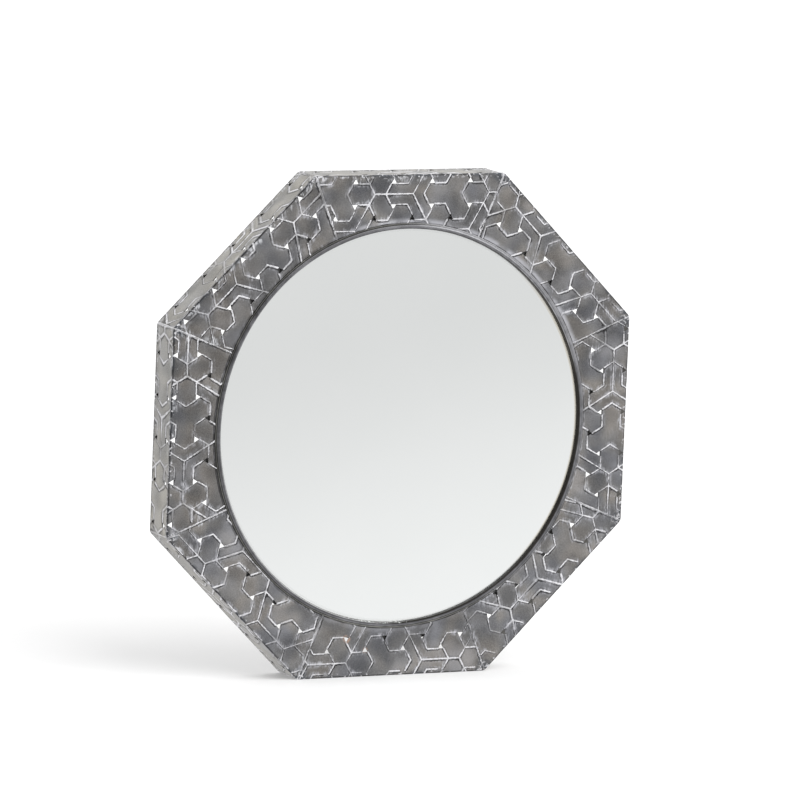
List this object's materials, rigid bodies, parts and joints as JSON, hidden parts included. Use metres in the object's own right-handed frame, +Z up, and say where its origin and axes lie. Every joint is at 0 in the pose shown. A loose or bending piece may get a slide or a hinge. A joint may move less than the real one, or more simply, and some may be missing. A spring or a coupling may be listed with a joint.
{
  "type": "octagonal mirror",
  "caption": "Octagonal wall mirror: shallow box frame of pressed and pierced zinc sheet, a raised round rim around flat glass, and wire hanging loops inside the rear hem.",
  "frame": {"origin": "under the middle of the frame, at the level of its bottom side", "axes": "+Z up, the mirror looks along -Y, +X to the right as one looks into it"},
  "size_m": [0.61, 0.0536, 0.61],
  "materials": {
    "zinc_front": "aged zinc sheet, pressed lines with pale residue",
    "zinc_side": "aged zinc sheet, paler on the sides",
    "zinc_ring": "rolled zinc rim, worn",
    "mirror_glass": "silvered flat glass",
    "backing_board": "brown hardboard",
    "strip_metal": "plain zinc strip, soldered",
    "hanger_steel": "zinc-plated steel"
  },
  "bodies": {
    "frame": {"front_plate_top": "zinc_front", "front_plate_upper_right": "zinc_front", "front_plate_right": "zinc_front", "front_plate_lower_right": "zinc_front", "front_plate_bottom": "zinc_front", "front_plate_lower_left": "zinc_front", "front_plate_left": "zinc_front", "front_plate_upper_left": "zinc_front", "side_wall_top": "zinc_side", "side_wall_upper_right": "zinc_side", "side_wall_right": "zinc_side", "side_wall_lower_right": "zinc_side", "side_wall_bottom": "zinc_side", "side_wall_lower_left": "zinc_side", "side_wall_left": "zinc_side", "side_wall_upper_left": "zinc_side", "mirror_ring": "zinc_ring", "mirror_glass": "mirror_glass", "backing_board": "backing_board", "retaining_clips": "strip_metal", "seam_straps": "strip_metal", "corner_gussets": "strip_metal", "hanger_bracket_left": "hanger_steel", "hanger_rivets_left": "hanger_steel", "hanger_bracket_right": "hanger_steel", "hanger_rivets_right": "hanger_steel"},
    "loop_left": {"hanger_loop_left": "hanger_steel"},
    "loop_right": {"hanger_loop_right": "hanger_steel"}
  },
  "joints": [
    {"name": "loop_left_swing", "type": "hinge", "parent": "frame", "child": "loop_left", "pos_m": [-0.28425, 0.024, 0.3453], "axis": [1, 0, 0], "range_deg": [-165, 165]},
    {"name": "loop_right_swing", "type": "hinge", "parent": "frame", "child": "loop_right", "pos_m": [0.28425, 0.024, 0.3453], "axis": [1, 0, 0], "range_deg": [-165, 165]}
  ]
}
